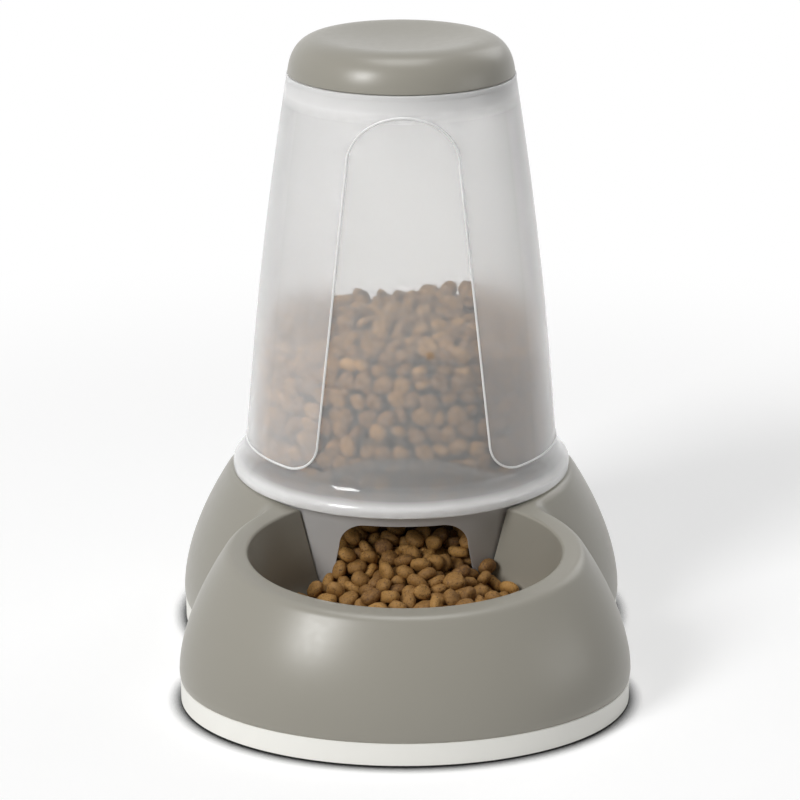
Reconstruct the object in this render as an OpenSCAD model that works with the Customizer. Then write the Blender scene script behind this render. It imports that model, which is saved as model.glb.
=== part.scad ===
// Gravity-fed dry food feeder for a cat or small dog: a tapered see-through
// hopper with a lift-off lid stands on a two-lobed base, and a funnel-shaped
// chute lets the food down into the bowl in front.
// Origin at the centre of the footprint on the floor, +Z up, bowl towards -Y.

/* [Hopper] */
// Outer diameter of the hopper just under its top lip
hopper_top_d = 113.8; // [90:1:125]
// Outer diameter of the hopper just above its collar
hopper_foot_d = 159.6; // [140:1:164]
// Height of the hopper from the collar's lower edge to its top lip
hopper_h = 204.8; // [150:0.1:260]
// How far the hopper's side bows outwards from a straight taper
hopper_bow = 2.2; // [0:0.1:5]
// Wall thickness of the hopper
hopper_wall = 2; // [1.5:0.1:3]
// Height of the lip around the hopper's filling opening
lip_h = 2.6; // [1.5:0.1:5]
// How far the lip stands out from the hopper's side
lip_out = 0.4; // [0.2:0.1:2]

/* [Collar] */
// Outer diameter of the flared collar at the hopper's foot
collar_d = 173; // [168:1:178]
// Height of the whole collar, from its lower edge to the hopper's side
collar_h = 12.5; // [10:0.5:20]
// Height of the upright lip around the collar's edge
collar_lip_h = 4.5; // [3:0.5:7]

/* [Chute] */
// Outer diameter of the chute at its lower end
chute_foot_d = 148; // [125:1:156]
// Wall thickness of the chute
chute_wall = 1.8; // [1.2:0.1:3]
// Radius that the chute's wall lies inside the collar's edge
chute_step = 4.6; // [3.5:0.1:6]
// Height of the chute's rim, which sits inside the collar's lip
chute_rim_h = 2.5; // [1:0.1:2.8]
// Width of the feed mouth at its top
mouth_w = 64; // [40:1:80]
// Radius of the feed mouth's upper corners
mouth_corner_r = 13; // [4:1:18]
// Distance from the collar's edge down to the feed mouth
mouth_drop = 6; // [3:0.5:20]
// Angle at which the feed mouth's sides spread towards the floor
mouth_spread = 10; // [0:1:15]
// Height of the upright spigot that the chute holds up inside the hopper's foot
spigot_h = 2; // [1:0.5:10]
// Height of the arched tongue at the front of the spigot
tongue_h = 13.5; // [5:0.5:30]
// Width of the tongue where it leaves the spigot
tongue_w = 88; // [40:1:110]

/* [Lid] */
// Height of the lid above the hopper's lip
lid_h = 18; // [12:1:30]
// Radius by which the lid's edge stands back from the hopper's lip
lid_inset = 0.6; // [0:0.1:2]
// How far the lid's side leans in over its height
lid_lean = 2.2; // [0:0.1:5]
// Squareness of the lid's shoulder: 2 is a plain quarter oval
lid_shoulder = 2.5; // [2:0.1:4]
// Diameter of the crest around the lid's dished top
lid_crest_d = 78; // [50:1:90]
// Depth of the dish in the lid's top
lid_dish = 3; // [1:0.5:8]
// Wall thickness of the lid
lid_wall = 2.2; // [1.5:0.1:3.5]
// Depth that the lid's plug ring reaches into the hopper
plug_h = 9; // [5:1:15]

/* [Base] */
// Height of the seat that carries the hopper's collar
seat_z = 81.5; // [65:0.5:110]
// Width of the seat's top, from its socket to its outer edge
seat_w = 5.7; // [4:0.1:12]
// Diameter of the pedestal's foot, under the hopper
pedestal_d = 226; // [205:1:260]
// Width of the front lobe's foot
front_foot_w = 220; // [205:1:250]
// Depth of the front lobe's foot, front to back
front_foot_l = 170; // [155:1:200]
// Distance from the hopper's axis forward to the centre of the front lobe's foot
front_foot_y = 113.5; // [100:0.5:130]
// Width of the bowl's opening
bowl_w = 152; // [125:1:170]
// Length of the bowl's opening, front to back
bowl_l = 121.4; // [105:0.1:136]
// Distance from the hopper's axis forward to the centre of the bowl
bowl_y = 109.3; // [98:0.1:120]
// Width of the flat rim around the bowl
rim_w = 10.3; // [6:0.1:14]
// Angle at which the rim falls towards the front
rim_tilt = 5.7; // [0:0.1:9]
// Distance from the hopper's axis forward to where the rim starts to fall
rim_hinge_y = 45; // [20:1:70]
// Width that the rounding of the base's outer top edge takes up
rim_edge = 2.6; // [1:0.1:4]
// Height of the bowl's floor
floor_z = 32; // [18:1:45]
// Draft of the bowl's wall
bowl_draft = 5; // [1:1:12]
// Radius between the bowl's wall and its floor
bowl_fillet = 12; // [4:1:18]
// Bulge of the base's flanks: 1 is a straight flank
flank_bulge = 1.73; // [1:0.01:2.5]
// Width over which the two lobes blend into one another
lobe_blend = 16; // [6:1:30]
// Height of the band around the foot that tucks in under the flank
tuck_h = 4.5; // [3:0.5:10]
// How far the foot tucks in
tuck = 0.8; // [0:0.1:2]
// Wall thickness of the base
base_wall = 2.6; // [2:0.1:4]

/* [Non-slip ring] */
// Height of the ring that shows under the base
ring_h = 12; // [8:1:16]
// How far the ring stands back from the base's widest outline
ring_inset = 0.6; // [0.2:0.1:4]
// Width of the ring, from its outer face to its inner face
ring_w = 9; // [6:1:16]
// Height of the foot that the ring stands on
ring_foot_h = 0.8; // [0.4:0.1:2]
// How far the ring's foot is set back from its outer face
ring_foot_inset = 2; // [1:0.5:4]
// Chamfer of the ring's lower outer edge
ring_edge = 0.6; // [0.2:0.1:2]

/* [Fits] */
// Radial clearance of the lid's plug in the hopper
plug_gap = 0.4; // [0.2:0.1:1]
// Clearance between the chute and the base around it
chute_gap = 0.8; // [0.4:0.1:2]
// Gap between pieces that lift off one another
rest_gap = 0.3; // [0.2:0.1:1]

/* [Hidden] */
$fn = 96;

taupe = [0.64, 0.63, 0.58];
frosted = [0.88, 0.88, 0.88, 0.6];
off_white = [0.91, 0.91, 0.88];

cut = 1;       // how far a cutting shape runs past what it cuts
steps = 12;    // straight pieces in a curved profile
spokes = 96;   // points around the base's outline
flank_wall = 1.15; // how much wider the flank's wall measures on the level than square to it
well_top = 10; // how far the well's cutting shape runs past the rim

// The footprint, and where the hopper's axis stands in it
base_back = pedestal_d / 2;
base_front = front_foot_y + front_foot_l / 2;
hopper_y = (base_front - base_back) / 2;

// Heights
collar_z = seat_z + rest_gap;
hopper_top_z = collar_z + hopper_h;
side_z = collar_z + collar_h;
spigot_z = side_z + spigot_h;
tongue_z = spigot_z + tongue_h;
mouth_z = collar_z - mouth_drop;
chute_z = floor_z + rest_gap;
lid_z = hopper_top_z + rest_gap;

// Radii about the hopper's axis
top_r = hopper_top_d / 2;
lip_r = top_r + lip_out;
lid_r = lip_r - lid_inset;
side_r = hopper_foot_d / 2;
collar_r = collar_d / 2;
land_r = collar_r - hopper_wall;
chute_top_r = collar_r - chute_step;
chute_foot_r = chute_foot_d / 2;
socket_top_r = chute_top_r + chute_gap;
seat_r = socket_top_r + seat_w;
spigot_r = hopper_r(tongue_z) - hopper_wall - rest_gap;
plug_r = top_r - hopper_wall - plug_gap;
crest_r = lid_crest_d / 2;

// Where the base's two lobes are measured from: midway between their centres
hub = [0, -bowl_y / 2];

function mix(a, b, t) = a + (b - a) * t;
function bezier(a, b, c, t) = (1 - t) * (1 - t) * a + 2 * t * (1 - t) * b + t * t * c;
function blend_max(a, b, k) = max(a, b) + pow(max(k - abs(a - b), 0), 2) / (4 * k);
function blend_min(a, b, k) = -blend_max(-a, -b, k);

// Outer radius of the hopper's side at a height above its collar
function hopper_r(z) =
    let (t = (z - side_z) / (hopper_top_z - side_z))
    mix(side_r, top_r, t) + 4 * hopper_bow * t * (1 - t);

// The hopper's side as profile points, set in by a wall thickness
function side_profile(inset) =
    [for (i = [0:steps]) let (z = mix(side_z, hopper_top_z, i / steps)) [hopper_r(z) - inset, z]];

module spin(profile) {
    rotate_extrude() polygon(profile);
}

function middle(ring) = [for (k = [0:2]) [for (p = ring) p[k]] * [for (p = ring) 1 / len(ring)]];

// A closed body through rings of points, each ring the same number of points
module loft(rings) {
    n = len(rings[0]);
    m = len(rings);
    points = concat([for (ring = rings) each ring], [middle(rings[0]), middle(rings[m - 1])]);
    sides = [for (j = [0:m - 2], i = [0:n - 1]) let (a = j * n, b = (i + 1) % n)
        each [[a + i, a + n + i, a + b], [a + b, a + n + i, a + n + b]]];
    foot = [for (i = [0:n - 1]) [i, (i + 1) % n, n * m]];
    head = [for (i = [0:n - 1]) [n * (m - 1) + (i + 1) % n, n * (m - 1) + i, n * m + 1]];
    polyhedron(points, concat(sides, foot, head));
}

// Height of the base's top: level on the seat, then falling towards the front
function top_z(y) = blend_min(seat_z, seat_z + tan(rim_tilt) * (y + rim_hinge_y), 2);

// How far a ray from the hub runs before it leaves the round or the oval lobe
function round_reach(u, r) = -hub * u + sqrt(pow(hub * u, 2) - hub * hub + r * r);
function oval_reach(u, a, b, y) =
    let (c = [hub.x / a, (hub.y + y) / b], v = [u.x / a, u.y / b])
    (-c * v + sqrt(pow(c * v, 2) - (v * v) * (c * c - 1))) / (v * v);

// The base's outline between its top edge (0) and its foot (1), set in by a distance
function outline(t, inset) =
    [for (i = [0:spokes - 1])
        let (u = [cos(360 * i / spokes), sin(360 * i / spokes)],
             round_lobe = round_reach(u, mix(seat_r, base_back, t)),
             oval_lobe = oval_reach(u,
                 mix(bowl_w / 2 + rim_w, front_foot_w / 2, t),
                 mix(bowl_l / 2 + rim_w, front_foot_l / 2, t),
                 mix(bowl_y, front_foot_y, t)))
        hub + u * (blend_max(round_lobe, oval_lobe, lobe_blend) - inset)];

function level(ring, z) = [for (p = ring) [p.x, p.y, z]];
function on_top(ring, drop) = [for (p = ring) [p.x, p.y, top_z(p.y) - drop]];

// A ring of the flank: h runs from the foot (0) to the top edge (1)
function flank(h, inset, drop) =
    let (plan = outline(1 - pow(h, flank_bulge), inset), edge = outline(0, 0))
    [for (i = [0:spokes - 1]) [plan[i].x, plan[i].y, mix(ring_h + tuck_h, top_z(edge[i].y) - drop, h)]];

// The outside of the base as one solid
module base_form() {
    lower = flank(0.955, 0, 0);
    edge = on_top(outline(0, 0), 0);
    inner = on_top(outline(0, rim_edge), 0);
    loft(concat(
        [level(outline(1, tuck), ring_h), level(outline(1, tuck / 4), ring_h + tuck_h / 2)],
        [for (h = [0, 0.1, 0.22, 0.35, 0.5, 0.65, 0.78, 0.88]) flank(h, 0, 0)],
        [for (t = [0:0.25:1]) bezier(lower, edge, inner, t)],
        [on_top(outline(0, seat_w + cut), 0)]));
}

// The space under the base's shell, with a narrower mouth above the ring
module base_hollow() {
    mouth = outline(1, ring_inset + ring_w);
    loft(concat(
        [level(mouth, ring_h - cut), level(mouth, ring_h + base_wall)],
        [level(outline(1, tuck + base_wall), ring_h + base_wall)],
        [for (h = [0.05, 0.25, 0.45, 0.65, 0.85, 1]) flank(h, flank_wall * base_wall, base_wall)]));
}

// The bowl's and the socket's space, let out all round by a wall
module well(wall) {
    down = floor_z - wall;
    depth = seat_z - floor_z;
    slope = tan(bowl_draft);
    taper = (socket_top_r - chute_foot_r - chute_gap) / (seat_z - chute_z);
    oval = function(inset, z, rise) [for (i = [0:spokes - 1])
        let (u = [cos(360 * i / spokes), sin(360 * i / spokes)],
             x = (bowl_w / 2 + wall - inset) * u.x,
             y = (bowl_l / 2 + wall - inset) * u.y - bowl_y)
        [x, y, z + rise * (top_z(y) - z)]];
    corner = oval(slope * depth, down, 0);
    floor_ring = oval(slope * depth + bowl_fillet, down, 0);
    wall_ring = oval(slope * (depth - bowl_fillet), down + bowl_fillet, 0);
    rim = oval(0, down, 1);
    loft(concat(
        [for (t = [0:0.25:1]) bezier(floor_ring, corner, wall_ring, t)],
        [rim, [for (p = rim) p + [0, 0, well_top]]]));
    translate([0, 0, down])
        cylinder(h = depth + wall + cut,
            r1 = chute_foot_r + chute_gap + wall, r2 = socket_top_r + wall + taper * cut);
}

module base() {
    color(taupe) translate([0, hopper_y, 0]) difference() {
        base_form();
        difference() {
            base_hollow();
            well(base_wall);
        }
        well(0);
    }
}

module non_slip_ring() {
    foot = outline(1, ring_inset + ring_foot_inset);
    inside = outline(1, ring_inset + ring_w);
    color(off_white) translate([0, hopper_y, 0]) difference() {
        loft([
            level(foot, 0),
            level(foot, ring_foot_h),
            level(outline(1, ring_inset + ring_edge), ring_foot_h),
            level(outline(1, ring_inset), ring_foot_h + ring_edge),
            level(outline(1, ring_inset), ring_h)]);
        loft([level(inside, -cut), level(inside, ring_h + cut)]);
    }
}

module hopper() {
    flare = [[collar_r, collar_z + collar_lip_h], [side_r, side_z]];
    inset = [-hopper_wall, -hopper_wall / 2];
    inside = side_profile(hopper_wall);
    color(frosted) translate([0, hopper_y, 0]) spin(concat(
        [[land_r, collar_z], [collar_r, collar_z]],
        flare,
        [for (p = side_profile(0)) if (p[1] > side_z && p[1] < hopper_top_z - lip_h) p],
        [[hopper_r(hopper_top_z - lip_h), hopper_top_z - lip_h], [lip_r, hopper_top_z - lip_h]],
        [[lip_r, hopper_top_z]],
        [for (i = [steps:-1:1]) inside[i]],
        [flare[1] + inset, flare[0] + inset]));
}

// The feed mouth's outline, seen from the front
module mouth_shape() {
    spread = tan(mouth_spread);
    arc_x = mouth_w / 2 - mouth_corner_r;
    arc_z = mouth_z - mouth_corner_r;
    foot_z = floor_z - cut;
    half = [for (a = [0:10:90]) [arc_x + mouth_corner_r * cos(a), arc_z + mouth_corner_r * sin(a)]];
    foot_x = mouth_w / 2 + spread * (arc_z - foot_z);
    polygon(concat(
        [[foot_x, foot_z]],
        half,
        [for (i = [len(half) - 1:-1:0]) [-half[i].x, half[i].y]],
        [[-foot_x, foot_z]]));
}

module feed_chute() {
    tongue_r = (pow(tongue_w / 2, 2) + pow(tongue_h, 2)) / (2 * tongue_h);
    color(frosted) translate([0, hopper_y, 0]) difference() {
        spin([
            [chute_foot_r - chute_wall, chute_z],
            [chute_foot_r, chute_z],
            [chute_top_r, collar_z],
            [land_r, collar_z],
            [land_r, collar_z + chute_rim_h],
            [spigot_r, side_z],
            [spigot_r, tongue_z],
            [spigot_r - chute_wall, tongue_z],
            [spigot_r - chute_wall, side_z],
            [chute_top_r - chute_wall, collar_z + chute_wall / 2]]);
        // everything above the spigot but the tongue
        difference() {
            translate([0, 0, spigot_z]) cylinder(h = tongue_h + cut, r = side_r);
            translate([0, 0, tongue_z - tongue_r]) rotate([90, 0, 0])
                cylinder(h = side_r + cut, r = tongue_r);
        }
        rotate([90, 0, 0]) linear_extrude(height = collar_r) mouth_shape();
    }
}

// Radius of the lid's outside at a share of its height
function lid_side(t) =
    let (bow = lid_r - lid_lean - crest_r)
    lid_r - lid_lean * t - bow * (1 - pow(1 - pow(t, lid_shoulder), 1 / lid_shoulder));

module lid() {
    heights = [for (i = [0:steps]) sin(90 * i / steps)];
    plug_in = plug_r - lid_wall;
    dome = function(wall) [for (t = heights) [lid_side(t) - wall, lid_z + (lid_h - wall) * t]];
    dish = function(wall) [for (t = [0.75:-0.25:0])
        [crest_r * t, lid_z + lid_h - wall - lid_dish * (1 - t * t)]];
    roof = concat([for (p = dome(lid_wall)) if (p.x < plug_in) p], dish(lid_wall));
    color(taupe) translate([0, hopper_y, 0]) spin(concat(
        [[plug_r, lid_z]],
        dome(0),
        dish(0),
        [for (i = [len(roof) - 1:-1:0]) roof[i]],
        [[plug_in, roof[0].y], [plug_in, lid_z - plug_h], [plug_r, lid_z - plug_h]]));
}

lid();
hopper();
feed_chute();
base();
non_slip_ring();
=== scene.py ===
import bmesh
import bpy
import math
import random
from mathutils import Matrix, Quaternion, Vector


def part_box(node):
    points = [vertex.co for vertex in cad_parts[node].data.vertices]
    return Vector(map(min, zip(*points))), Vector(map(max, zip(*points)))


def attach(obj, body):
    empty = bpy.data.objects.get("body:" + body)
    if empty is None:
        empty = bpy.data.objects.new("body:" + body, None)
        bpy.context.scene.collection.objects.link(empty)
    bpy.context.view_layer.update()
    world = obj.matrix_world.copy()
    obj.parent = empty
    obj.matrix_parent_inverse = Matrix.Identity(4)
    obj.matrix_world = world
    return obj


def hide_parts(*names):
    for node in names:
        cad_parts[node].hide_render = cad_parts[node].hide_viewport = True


# Gravity pet feeder: taupe lid and base, milky hopper, dry food. Metres, +Z up, bowl towards -Y.

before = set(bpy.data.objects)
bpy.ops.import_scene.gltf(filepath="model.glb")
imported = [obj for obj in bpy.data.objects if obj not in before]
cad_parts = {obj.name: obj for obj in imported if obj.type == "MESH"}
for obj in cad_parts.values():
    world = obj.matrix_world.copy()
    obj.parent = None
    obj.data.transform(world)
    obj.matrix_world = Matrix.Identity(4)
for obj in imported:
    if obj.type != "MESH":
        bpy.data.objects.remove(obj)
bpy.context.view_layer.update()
print("frame loaded")

baseLow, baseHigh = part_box("base")
hopperLow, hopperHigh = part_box("hopper")
lidLow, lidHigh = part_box("lid")
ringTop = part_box("non_slip_ring")[1].z
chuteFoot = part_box("feed_chute")[0].z
axisY = (hopperLow.y + hopperHigh.y) / 2  # the hopper's axis stands at x = 0, y = axisY


def mix(a, b, t):
    return a + (b - a) * t


def blendMax(a, b, width):  # the larger one, rounded over where the two are close
    return max(a, b) + max(width - abs(a - b), 0) ** 2 / (4 * width)


def bezier(a, b, c, t):
    return (1 - t) * (1 - t) * a + 2 * t * (1 - t) * b + t * t * c


def quarterTurn(k, steps):
    return math.radians(90 * k / steps)


# Materials: one Principled shader each, patterns on Object coordinates
noiseSpan = (0.3, 0.7)  # where most of a noise texture's values lie


def newMaterial(name, baseColour, roughness, **sockets):
    material = bpy.data.materials.new(name)
    material.use_nodes = True
    tree = material.node_tree
    shader = tree.nodes["Principled BSDF"]
    shader.inputs["Base Color"].default_value = (*baseColour, 1)
    shader.inputs["Roughness"].default_value = roughness
    for socket, value in sockets.items():
        shader.inputs[socket.replace("_", " ")].default_value = value
    material.diffuse_color = (*baseColour, 1)
    return material, tree, shader


def addNode(tree, kind, inputs=None, **settings):
    node = tree.nodes.new(kind)
    for key, value in settings.items():
        setattr(node, key, value)
    for key, value in (inputs or {}).items():
        if isinstance(value, bpy.types.NodeSocket):
            tree.links.new(value, node.inputs[key])
        else:
            node.inputs[key].default_value = value
    return node


def mathNode(tree, operation, a, b=0.0):
    return addNode(tree, "ShaderNodeMath", {0: a, 1: b}, operation=operation).outputs[0]


def overNode(tree, a, b):  # how far one value lies over another, or 0
    return mathNode(tree, "MAXIMUM", mathNode(tree, "SUBTRACT", a, b), 0.0)


def lengthNode(tree, a, b):
    squares = [mathNode(tree, "MULTIPLY", side, side) for side in (a, b)]
    return mathNode(tree, "SQRT", mathNode(tree, "ADD", *squares))


def rangeNode(tree, value, fromLow, fromHigh, low, high):
    return addNode(tree, "ShaderNodeMapRange", {"Value": value, "From Min": fromLow, "From Max": fromHigh,
                                                "To Min": low, "To Max": high}).outputs["Result"]


def colourMix(tree, factor, a, b):
    node = addNode(tree, "ShaderNodeMix", {"Factor": factor}, data_type="RGBA")
    for socket, value in ((node.inputs[6], a), (node.inputs[7], b)):
        if isinstance(value, bpy.types.NodeSocket):
            tree.links.new(value, socket)
        else:
            socket.default_value = (*value, 1)
    return node.outputs[2]


def objectPlace(tree):
    return addNode(tree, "ShaderNodeTexCoord").outputs["Object"]


def placeParts(tree):
    return addNode(tree, "ShaderNodeSeparateXYZ", {"Vector": objectPlace(tree)}).outputs


def noiseNode(tree, scale, detail=2.0, roughness=0.5):
    return addNode(tree, "ShaderNodeTexNoise", {"Vector": objectPlace(tree), "Scale": scale,
                                                "Detail": detail, "Roughness": roughness}).outputs["Fac"]


def varyRoughness(tree, shader, scale, limits):
    rough = rangeNode(tree, noiseNode(tree, scale), *noiseSpan, *limits)
    tree.links.new(rough, shader.inputs["Roughness"])


def addGrain(tree, shader, height, distance, strength):
    bump = addNode(tree, "ShaderNodeBump", {"Strength": strength, "Distance": distance, "Height": height})
    tree.links.new(bump.outputs[0], shader.inputs["Normal"])


def noiseGrain(tree, shader, scale, distance, strength):  # the three values of a look's "grain"
    addGrain(tree, shader, noiseNode(tree, scale), distance, strength)


taupeLook = {"colour": (0.296, 0.280, 0.237), "light": (0.312, 0.296, 0.252), "toneScale": 14.0,
             "roughness": (0.30, 0.34), "roughScale": 260.0, "grain": (2600.0, 0.00002, 0.6)}


def taupePlastic(name):
    look = taupeLook
    material, tree, shader = newMaterial(name, look["colour"], look["roughness"][0])
    tone = colourMix(tree, noiseNode(tree, look["toneScale"]), look["colour"], look["light"])
    tree.links.new(tone, shader.inputs["Base Color"])
    varyRoughness(tree, shader, look["roughScale"], look["roughness"])
    noiseGrain(tree, shader, *look["grain"])
    return material


rubberLook = {"colour": (0.92, 0.91, 0.86), "dark": (0.91, 0.90, 0.85), "light": (0.94, 0.93, 0.88),
              "toneScale": 30.0, "roughness": 0.6, "grain": (1800.0, 0.00003, 0.6)}


def rubber(name):
    look = rubberLook
    material, tree, shader = newMaterial(name, look["colour"], look["roughness"])
    tone = colourMix(tree, noiseNode(tree, look["toneScale"], 3.0), look["dark"], look["light"])
    tree.links.new(tone, shader.inputs["Base Color"])
    noiseGrain(tree, shader, *look["grain"])
    return material


# The hopper's clear zone: an arched window at the front, open at its foot to a clear band all round
window = {
    "halfW": 0.0275, "archFoot": 0.2520, "archRise": 0.0242,
    "spread": 0.1086,  # half width gained for each length down
    "bandTop": 0.0980, "corner": 0.014,
    "beadR": 0.00065, "beadSink": 0.00015, "beadSides": 8, "beadSharp": 60.0,
    "crownSteps": 24, "sideSteps": 36, "cornerSteps": 16, "backSteps": 80,
}
frostLook = {
    "colour": (0.945, 0.942, 0.935), "ior": 1.49,
    "clearRough": 0.03, "frostedRough": 0.07, "highRough": 0.27,
    "highFrom": 0.140, "highTo": 0.175,  # heights where the frosted part grows rougher, above the food
    "clearPass": 0.88, "frostedPass": 0.77, "lipPass": 0.45, "rimPass": 0.35,
    "lipFrom": 0.0845, "lipTo": 0.0900,  # heights where the collar's lip turns clear
    "rimH": 0.005, "grazingFrom": 0.5, "grazing": 0.3,
    "edge": 0.0006, "grain": 0.10, "depth": 0.006, "shadowPass": 0.64,
}
milkyGrain = (900.0, 0.00001)


def frostMask(tree):  # 1 on the frosted plastic, 0 in the clear zone
    w = window
    x, y, z = placeParts(tree)
    rise = mathNode(tree, "MULTIPLY", overNode(tree, z, w["archFoot"]), w["halfW"] / w["archRise"])
    reach = lengthNode(tree, x, rise)
    drop = overNode(tree, w["archFoot"], z)
    half = mathNode(tree, "ADD", mathNode(tree, "MULTIPLY", drop, w["spread"]), w["halfW"])
    side = mathNode(tree, "ADD", mathNode(tree, "SUBTRACT", reach, half), overNode(tree, y, axisY))
    above = mathNode(tree, "SUBTRACT", z, w["bandTop"])
    fromCorner = lengthNode(tree, overNode(tree, w["corner"], side), overNode(tree, w["corner"], above))
    soft = frostLook["edge"]
    return rangeNode(tree, fromCorner, w["corner"] - soft, w["corner"] + soft, 1.0, 0.0)


def letLightIn(tree, shader, share):  # lamp light passes each face of the plastic, instead of a hard shadow
    shadow = addNode(tree, "ShaderNodeLightPath").outputs["Is Shadow Ray"]
    blocked = mathNode(tree, "SUBTRACT", 1.0, mathNode(tree, "MULTIPLY", shadow, share))
    tree.links.new(blocked, shader.inputs["Alpha"])


def milkyMaterial(name, look, roughness):
    return newMaterial(name, look["colour"], roughness, IOR=look["ior"], Subsurface_Weight=1.0,
                       Subsurface_Scale=look["depth"], Subsurface_Radius=(1, 1, 1))


def frostedPlastic(name):
    look = frostLook
    material, tree, shader = milkyMaterial(name, look, look["clearRough"])
    frost = frostMask(tree)
    level = placeParts(tree)[2]
    rough = rangeNode(tree, level, look["highFrom"], look["highTo"], look["frostedRough"], look["highRough"])
    rough = rangeNode(tree, frost, 0.0, 1.0, look["clearRough"], rough)
    tree.links.new(rough, shader.inputs["Roughness"])
    clear = rangeNode(tree, level, look["lipFrom"], look["lipTo"], look["lipPass"], look["clearPass"])
    clear = mathNode(tree, "MULTIPLY", clear, mathNode(tree, "SUBTRACT", 1.0, frost))
    milky = mathNode(tree, "MULTIPLY", frost, look["frostedPass"])
    facing = addNode(tree, "ShaderNodeLayerWeight", {"Blend": 0.5}).outputs["Facing"]
    through = rangeNode(tree, facing, look["grazingFrom"], 1.0, 1.0, look["grazing"])
    rim = rangeNode(tree, level, lidLow.z - look["rimH"], lidLow.z, 1.0, look["rimPass"])
    through = mathNode(tree, "MULTIPLY", through, rim)
    through = mathNode(tree, "MULTIPLY", through, mathNode(tree, "ADD", clear, milky))
    tree.links.new(through, shader.inputs["Transmission Weight"])
    noiseGrain(tree, shader, *milkyGrain, mathNode(tree, "MULTIPLY", frost, look["grain"]))
    letLightIn(tree, shader, look["shadowPass"])
    return material


beadLook = {"colour": (0.96, 0.96, 0.955), "roughness": 0.25, "pass": 0.12, "grain": (700.0, 0.00001, 0.3)}


def beadPlastic(name):
    look = beadLook
    material, tree, shader = newMaterial(name, look["colour"], look["roughness"], IOR=frostLook["ior"],
                                         Transmission_Weight=look["pass"])
    noiseGrain(tree, shader, *look["grain"])
    return material


chuteLook = {"colour": (0.60, 0.59, 0.58), "ior": 1.49, "clearFrom": 0.0845, "clearTo": 0.0875,
             "milkyRough": 0.34, "clearRough": 0.04, "milkyPass": 0.20, "clearPass": 0.97,
             "grain": 0.3, "depth": 0.0015, "shadowPass": 0.58}


def chutePlastic(name):  # milky below the collar, clear above it
    look = chuteLook
    material, tree, shader = milkyMaterial(name, look, look["milkyRough"])
    level = placeParts(tree)[2]

    def upward(low, high):
        return rangeNode(tree, level, look["clearFrom"], look["clearTo"], low, high)

    tree.links.new(upward(look["milkyRough"], look["clearRough"]), shader.inputs["Roughness"])
    tree.links.new(upward(look["milkyPass"], look["clearPass"]), shader.inputs["Transmission Weight"])
    noiseGrain(tree, shader, *milkyGrain, upward(look["grain"], 0.0))
    letLightIn(tree, shader, look["shadowPass"])
    return material


foodColours = {"dark": (0.125, 0.052, 0.010), "light": (0.470, 0.250, 0.066), "speck": (0.055, 0.021, 0.005)}
crustLook = {"patchScale": 600.0, "patchSpan": (0.36, 0.66), "patches": 0.40,
             "speckScale": 1300.0, "speckSpan": (0.56, 0.68), "specks": 0.75,
             "roughness": (0.50, 0.78), "roughScale": 700.0,
             "lumpScale": 650.0, "lumpH": 0.0008, "lumpStrength": 0.9, "pits": -0.35}


# shade scales every food colour down; below 1 it is painted shade, for food that lies deep in the fill
def bakedFood(name, shade=1.0):
    look = crustLook
    dark, light, speck = (tuple(shade * value for value in colour) for colour in foodColours.values())
    material, tree, shader = newMaterial(name, dark, look["roughness"][0])
    tone = addNode(tree, "ShaderNodeAttribute", attribute_name="tone", attribute_type="GEOMETRY").outputs["Fac"]
    crust = colourMix(tree, tone, dark, light)
    patches = rangeNode(tree, noiseNode(tree, look["patchScale"], 4.0, 0.65), *look["patchSpan"], 0.0, 1.0)
    crust = colourMix(tree, mathNode(tree, "MULTIPLY", patches, look["patches"]), crust, light)
    specks = rangeNode(tree, noiseNode(tree, look["speckScale"]), *look["speckSpan"], 0.0, look["specks"])
    crust = colourMix(tree, specks, crust, speck)
    tree.links.new(crust, shader.inputs["Base Color"])
    varyRoughness(tree, shader, look["roughScale"], look["roughness"])
    lumps = noiseNode(tree, look["lumpScale"], 4.0, 0.7)
    lumps = mathNode(tree, "ADD", lumps, mathNode(tree, "MULTIPLY", specks, look["pits"]))
    addGrain(tree, shader, lumps, look["lumpH"], look["lumpStrength"])
    return material


# the "core" material is the food colour darkened to 0.35: painted shade for food deep in the hopper and in the gaps
# between pieces
materials = {"base": taupePlastic("taupe_base"), "lid": taupePlastic("taupe_lid"),
             "ring": rubber("soft_off_white"), "hopper": frostedPlastic("milky_plastic"),
             "bead": beadPlastic("milky_bead"), "chute": chutePlastic("grey_plastic"),
             "kibble": bakedFood("baked_food"), "core": bakedFood("baked_food_painted_shade", 0.35)}


# Meshes
weldDist = 1e-6
onAxis = 1e-5  # the radius that a spun outline starts or ends at


def meshData(name, mesh):
    data = bpy.data.meshes.new(name)
    mesh.to_mesh(data)
    mesh.free()
    return data


def addObject(name, data):
    thing = bpy.data.objects.new(name, data)
    bpy.context.scene.collection.objects.link(thing)
    return thing


def weldFaces(mesh, dist=weldDist):
    bmesh.ops.remove_doubles(mesh, verts=mesh.verts, dist=dist)
    bmesh.ops.recalc_face_normals(mesh, faces=mesh.faces)
    return mesh


def finishPiece(name, mesh, body, nodes, material, sharpAngle=32.0):
    for edge in mesh.edges:
        edge.smooth = len(edge.link_faces) == 2 and edge.calc_face_angle(0.0) < math.radians(sharpAngle)
    for face in mesh.faces:
        face.smooth = True
    piece = addObject(name, meshData(name, mesh))
    piece.data.materials.append(material)
    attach(piece, body)
    if nodes:
        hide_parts(*nodes)
    return piece


def spinProfile(points, spokes, closed=True):
    mesh = bmesh.new()
    verts = [mesh.verts.new((r, 0, z)) for r, z in points]
    edges = [mesh.edges.new(pair) for pair in zip(verts, verts[1:])]
    if closed:
        edges.append(mesh.edges.new((verts[-1], verts[0])))
    bmesh.ops.spin(mesh, geom=verts + edges, cent=(0, 0, 0), axis=(0, 0, 1), angle=2 * math.pi,
                   steps=spokes, use_merge=True, use_duplicate=False)
    return weldFaces(mesh)


def moveToAxis(mesh):
    bmesh.ops.translate(mesh, verts=mesh.verts, vec=(0, axisY, 0))
    return mesh


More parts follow.
